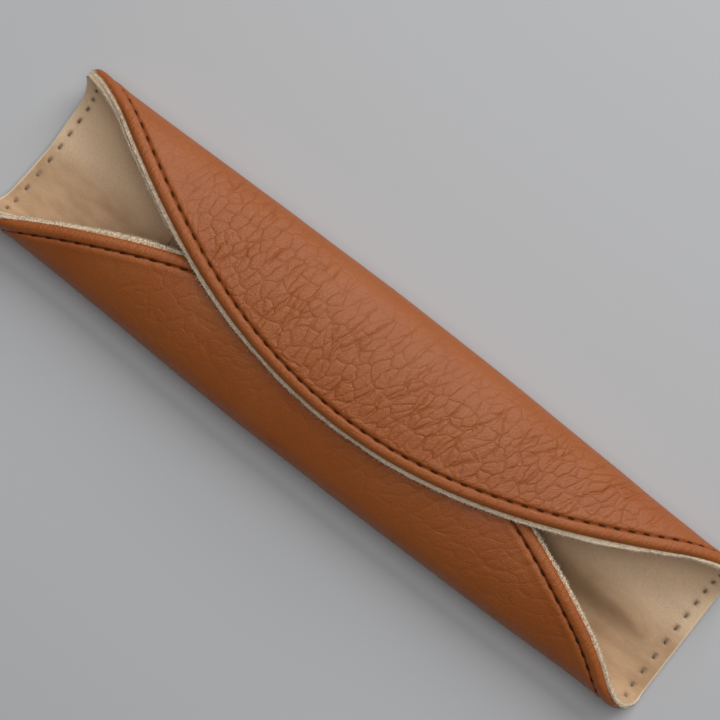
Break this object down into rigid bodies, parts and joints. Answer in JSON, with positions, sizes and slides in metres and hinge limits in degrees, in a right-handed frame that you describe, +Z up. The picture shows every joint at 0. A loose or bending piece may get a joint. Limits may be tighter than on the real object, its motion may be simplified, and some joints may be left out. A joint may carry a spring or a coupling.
{
  "type": "pen sleeve",
  "caption": "Lined leather sleeve for a single pen: one sheet wrapped into a flat tube, open at both ends, with two curved flaps that overlap on top and fold open.",
  "frame": {"origin": "centre of the sleeve's base, on the surface that it rests on", "axes": "+X along the pen, towards the mouth without the second suede layer; +Y towards the side that the top flap hangs from; +Z up"},
  "size_m": [0.176, 0.0432, 0.0204],
  "materials": {
    "leather": "tan pebbled leather, soft satin, turned edges",
    "suede": "beige suede, matt, raw cut edges",
    "thread": "dark brown waxed thread",
    "magnet": "nickel-plated disc, hidden between leather and lining"
  },
  "bodies": {
    "base": {"base_leather": "leather", "base_lining": "suede", "base_facing": "suede", "left_mouth_thread": "thread", "right_mouth_thread": "thread"},
    "top_flap": {"top_flap_leather": "leather", "top_flap_lining": "suede", "top_flap_facing": "suede", "top_flap_thread": "thread", "top_flap_magnet": "magnet"},
    "under_flap": {"under_flap_leather": "leather", "under_flap_lining": "suede", "under_flap_facing": "suede", "under_flap_thread": "thread", "under_flap_magnet": "magnet"}
  },
  "joints": [
    {"name": "top_flap_bend", "type": "hinge", "parent": "base", "child": "top_flap", "pos_m": [0, 0.0216, 0.0086], "axis": [-1, 0, 0], "range_deg": [0, 150]},
    {"name": "under_flap_bend", "type": "hinge", "parent": "base", "child": "under_flap", "pos_m": [0, -0.0216, 0.0086], "axis": [1, 0, 0], "range_deg": [0, 60]}
  ],
  "couplings": [
    {"joint": "under_flap_bend", "follows": "top_flap_bend", "ratio": 0.4}
  ]
}
